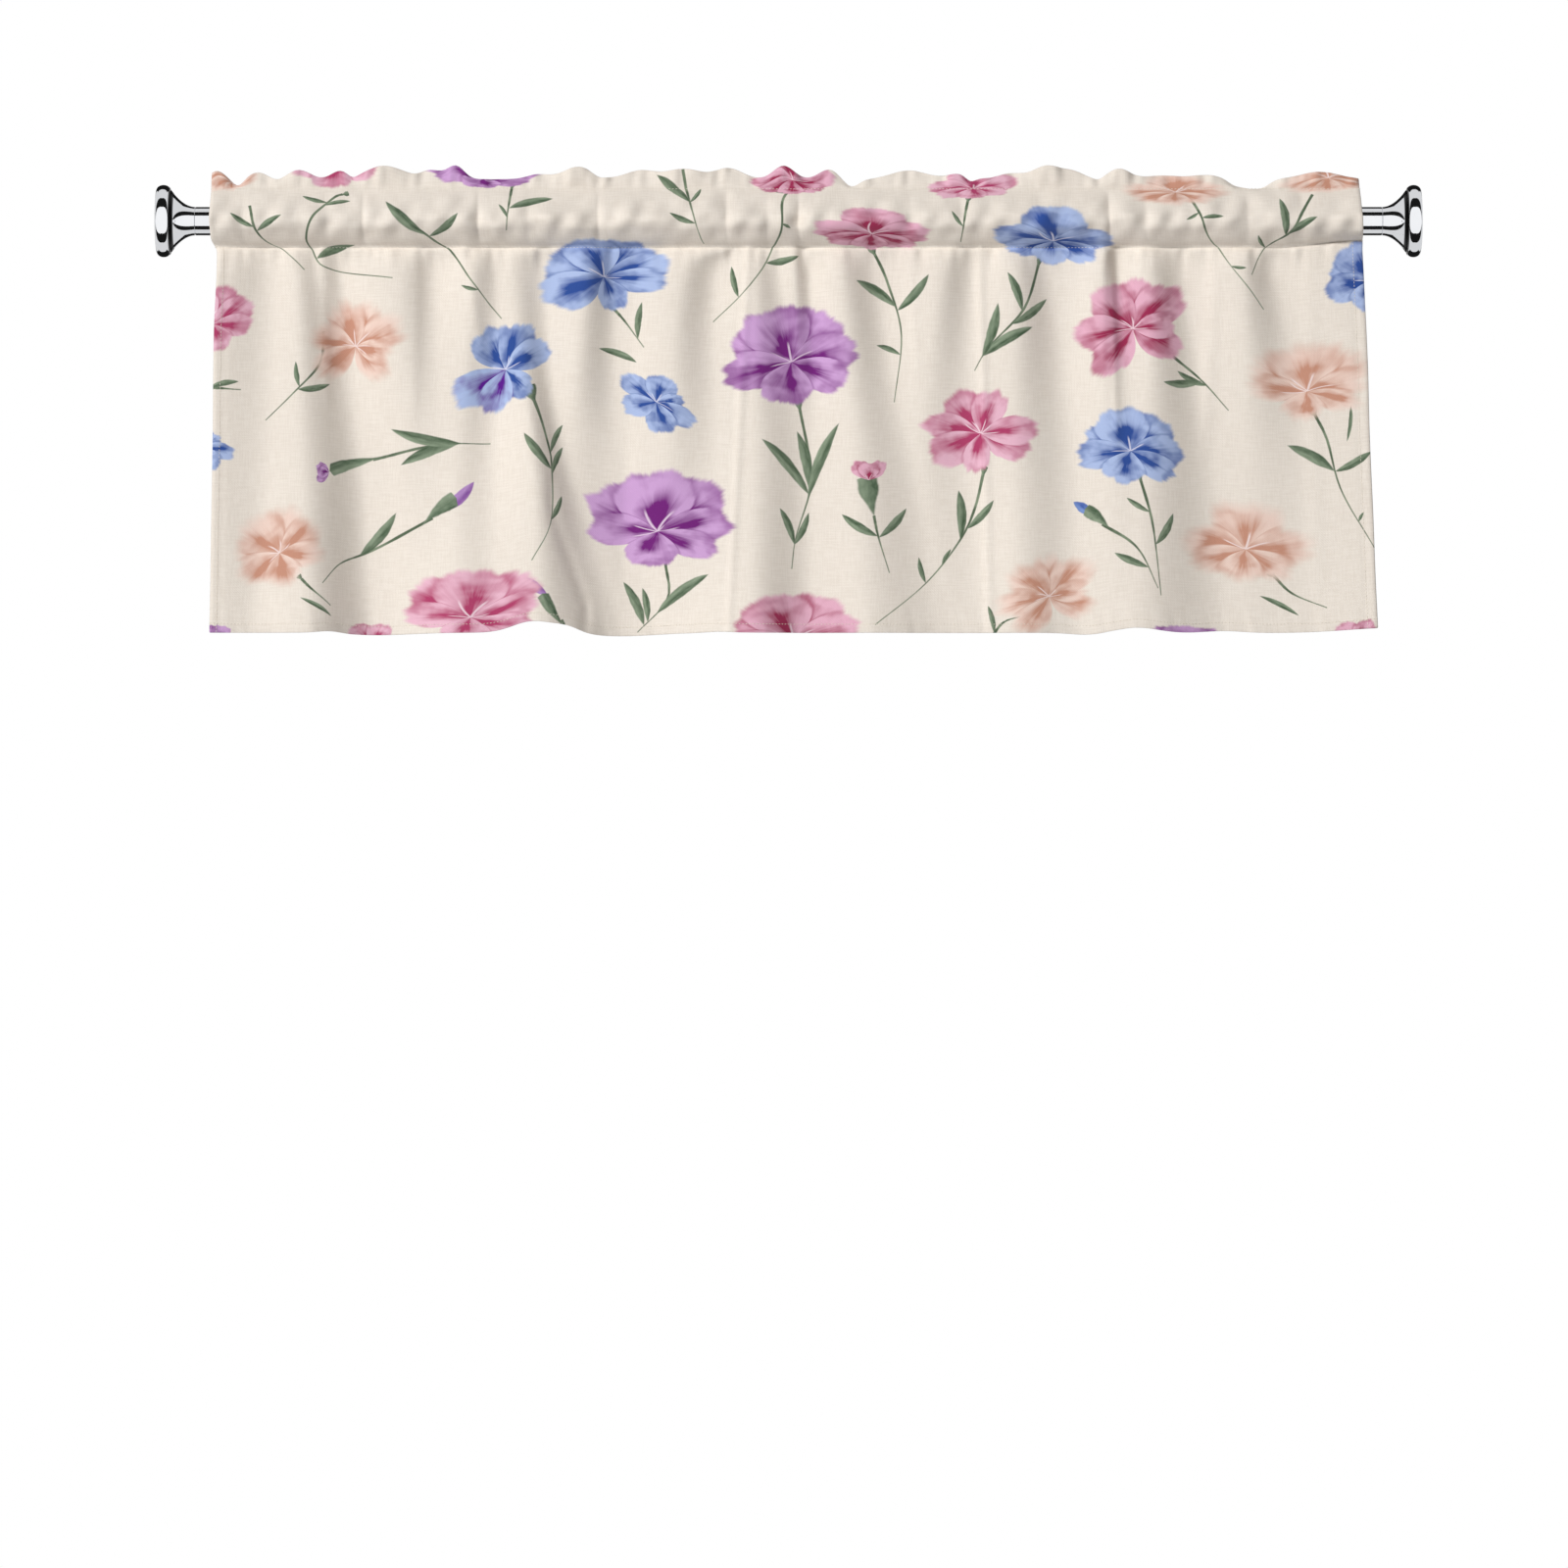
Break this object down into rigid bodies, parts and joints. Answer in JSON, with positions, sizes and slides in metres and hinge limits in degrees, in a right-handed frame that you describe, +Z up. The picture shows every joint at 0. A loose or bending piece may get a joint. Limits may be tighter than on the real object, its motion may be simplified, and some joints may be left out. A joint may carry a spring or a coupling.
{
  "type": "window valance and curtain rod",
  "caption": "Rod-pocket window valance with a frilled heading and softly folded skirt, hanging on a round metal rod with trumpet finials.",
  "frame": {"origin": "on the rod's axis at the middle of its length", "axes": "+X along the rod to the viewer's right, -Y towards the viewer, +Z up"},
  "size_m": [1.2452, 0.0712, 0.4621],
  "materials": {
    "printed_cloth": "cream plain weave with a scattered carnation print",
    "rod_metal": "polished chrome plate"
  },
  "bodies": {
    "root": {"valance": "printed_cloth", "rod": "rod_metal", "finial_left": "rod_metal", "finial_right": "rod_metal"}
  },
  "joints": []
}
